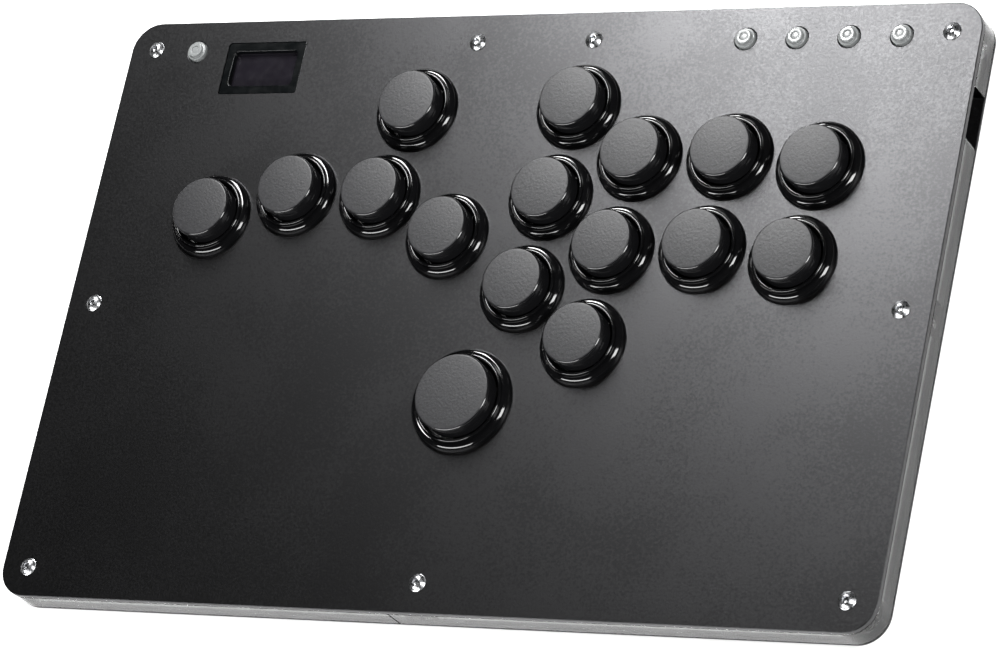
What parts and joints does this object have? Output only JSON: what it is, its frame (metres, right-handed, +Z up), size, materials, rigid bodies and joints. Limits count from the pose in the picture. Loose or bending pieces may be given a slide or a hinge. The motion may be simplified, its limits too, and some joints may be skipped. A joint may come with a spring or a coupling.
{
  "type": "arcade button controller panel",
  "caption": "Thin flat game controller panel: metal top plate over a clear edge frame, round push buttons for both hands and thumb, small function buttons and a display.",
  "frame": {"origin": "centre of the panel at the underside of the feet", "axes": "+X to the right of the player, +Y away from the player, +Z up out of the top plate"},
  "size_m": [0.298, 0.197, 0.0216],
  "materials": {
    "anodised_top": "dark grey anodised, fine-grained satin",
    "anodised_bottom": "dark anodised, satin",
    "clear_acrylic": "clear polished acrylic",
    "black_board": "black solder mask",
    "switch_body": "moulded nylon",
    "socket_body": "moulded resin",
    "collar_gloss": "gloss black moulding",
    "nut_plastic": "moulded nylon",
    "chip_resin": "moulded epoxy",
    "plated_steel": "nickel plated",
    "display_carrier": "blue solder mask",
    "display_screen": "dark display glass, off",
    "bezel_plastic": "black moulding",
    "chrome_screw": "bright plated",
    "foot_rubber": "soft black rubber",
    "spacer_nylon": "natural nylon",
    "plunger_satin": "fine textured top, gloss side",
    "stem_plastic": "moulded acetal",
    "clear_button": "clear moulding"
  },
  "bodies": {
    "panel": {"top_plate": "anodised_top", "frame_rear_left": "clear_acrylic", "frame_front_right": "clear_acrylic", "bottom_plate": "anodised_bottom", "circuit_board": "black_board", "switch_housings": "switch_body", "switch_sockets": "socket_body", "button_collars": "collar_gloss", "thumb_collar": "collar_gloss", "ring_nuts": "nut_plastic", "function_switches": "switch_body", "board_components": "chip_resin", "usb_port": "plated_steel", "display_board": "display_carrier", "display_panel": "display_screen", "display_bezel": "bezel_plastic", "display_header": "bezel_plastic", "top_screws": "chrome_screw", "standoffs": "plated_steel", "bottom_screws": "chrome_screw", "rubber_feet": "foot_rubber", "board_spacers": "spacer_nylon", "board_screws": "plated_steel"},
    "button_01": {"plunger_01": "plunger_satin", "stem_01": "stem_plastic"},
    "button_02": {"plunger_02": "plunger_satin", "stem_02": "stem_plastic"},
    "button_03": {"plunger_03": "plunger_satin", "stem_03": "stem_plastic"},
    "button_04": {"plunger_04": "plunger_satin", "stem_04": "stem_plastic"},
    "button_05": {"plunger_05": "plunger_satin", "stem_05": "stem_plastic"},
    "button_06": {"plunger_06": "plunger_satin", "stem_06": "stem_plastic"},
    "button_07": {"plunger_07": "plunger_satin", "stem_07": "stem_plastic"},
    "button_08": {"plunger_08": "plunger_satin", "stem_08": "stem_plastic"},
    "button_09": {"plunger_09": "plunger_satin", "stem_09": "stem_plastic"},
    "button_10": {"plunger_10": "plunger_satin", "stem_10": "stem_plastic"},
    "button_11": {"plunger_11": "plunger_satin", "stem_11": "stem_plastic"},
    "button_12": {"plunger_12": "plunger_satin", "stem_12": "stem_plastic"},
    "button_13": {"plunger_13": "plunger_satin", "stem_13": "stem_plastic"},
    "button_14": {"plunger_14": "plunger_satin", "stem_14": "stem_plastic"},
    "button_15": {"plunger_15": "plunger_satin", "stem_15": "stem_plastic"},
    "button_16": {"plunger_16": "plunger_satin", "stem_16": "stem_plastic"},
    "function_1": {"function_button_1": "clear_button"},
    "function_2": {"function_button_2": "clear_button"},
    "function_3": {"function_button_3": "clear_button"},
    "function_4": {"function_button_4": "clear_button"},
    "function_5": {"function_button_5": "clear_button"}
  },
  "joints": [
    {"name": "press_01", "type": "slide", "parent": "panel", "child": "button_01", "axis": [0, 0, -1], "range_m": [0, 0.0025], "stiffness_N_per_m": 100, "springref_m": -0.0025},
    {"name": "press_02", "type": "slide", "parent": "panel", "child": "button_02", "axis": [0, 0, -1], "range_m": [0, 0.0025], "stiffness_N_per_m": 100, "springref_m": -0.0025},
    {"name": "press_03", "type": "slide", "parent": "panel", "child": "button_03", "axis": [0, 0, -1], "range_m": [0, 0.0025], "stiffness_N_per_m": 100, "springref_m": -0.0025},
    {"name": "press_04", "type": "slide", "parent": "panel", "child": "button_04", "axis": [0, 0, -1], "range_m": [0, 0.0025], "stiffness_N_per_m": 100, "springref_m": -0.0025},
    {"name": "press_05", "type": "slide", "parent": "panel", "child": "button_05", "axis": [0, 0, -1], "range_m": [0, 0.0025], "stiffness_N_per_m": 100, "springref_m": -0.0025},
    {"name": "press_06", "type": "slide", "parent": "panel", "child": "button_06", "axis": [0, 0, -1], "range_m": [0, 0.0025], "stiffness_N_per_m": 100, "springref_m": -0.0025},
    {"name": "press_07", "type": "slide", "parent": "panel", "child": "button_07", "axis": [0, 0, -1], "range_m": [0, 0.0025], "stiffness_N_per_m": 100, "springref_m": -0.0025},
    {"name": "press_08", "type": "slide", "parent": "panel", "child": "button_08", "axis": [0, 0, -1], "range_m": [0, 0.0025], "stiffness_N_per_m": 100, "springref_m": -0.0025},
    {"name": "press_09", "type": "slide", "parent": "panel", "child": "button_09", "axis": [0, 0, -1], "range_m": [0, 0.0025], "stiffness_N_per_m": 100, "springref_m": -0.0025},
    {"name": "press_10", "type": "slide", "parent": "panel", "child": "button_10", "axis": [0, 0, -1], "range_m": [0, 0.0025], "stiffness_N_per_m": 100, "springref_m": -0.0025},
    {"name": "press_11", "type": "slide", "parent": "panel", "child": "button_11", "axis": [0, 0, -1], "range_m": [0, 0.0025], "stiffness_N_per_m": 100, "springref_m": -0.0025},
    {"name": "press_12", "type": "slide", "parent": "panel", "child": "button_12", "axis": [0, 0, -1], "range_m": [0, 0.0025], "stiffness_N_per_m": 100, "springref_m": -0.0025},
    {"name": "press_13", "type": "slide", "parent": "panel", "child": "button_13", "axis": [0, 0, -1], "range_m": [0, 0.0025], "stiffness_N_per_m": 100, "springref_m": -0.0025},
    {"name": "press_14", "type": "slide", "parent": "panel", "child": "button_14", "axis": [0, 0, -1], "range_m": [0, 0.0025], "stiffness_N_per_m": 100, "springref_m": -0.0025},
    {"name": "press_15", "type": "slide", "parent": "panel", "child": "button_15", "axis": [0, 0, -1], "range_m": [0, 0.0025], "stiffness_N_per_m": 100, "springref_m": -0.0025},
    {"name": "press_16", "type": "slide", "parent": "panel", "child": "button_16", "axis": [0, 0, -1], "range_m": [0, 0.0025], "stiffness_N_per_m": 100, "springref_m": -0.0025},
    {"name": "function_press_1", "type": "slide", "parent": "panel", "child": "function_1", "axis": [0, 0, -1], "range_m": [0, 0.0004], "stiffness_N_per_m": 1000, "springref_m": -0.0005},
    {"name": "function_press_2", "type": "slide", "parent": "panel", "child": "function_2", "axis": [0, 0, -1], "range_m": [0, 0.0004], "stiffness_N_per_m": 1000, "springref_m": -0.0005},
    {"name": "function_press_3", "type": "slide", "parent": "panel", "child": "function_3", "axis": [0, 0, -1], "range_m": [0, 0.0004], "stiffness_N_per_m": 1000, "springref_m": -0.0005},
    {"name": "function_press_4", "type": "slide", "parent": "panel", "child": "function_4", "axis": [0, 0, -1], "range_m": [0, 0.0004], "stiffness_N_per_m": 1000, "springref_m": -0.0005},
    {"name": "function_press_5", "type": "slide", "parent": "panel", "child": "function_5", "axis": [0, 0, -1], "range_m": [0, 0.0004], "stiffness_N_per_m": 1000, "springref_m": -0.0005}
  ]
}
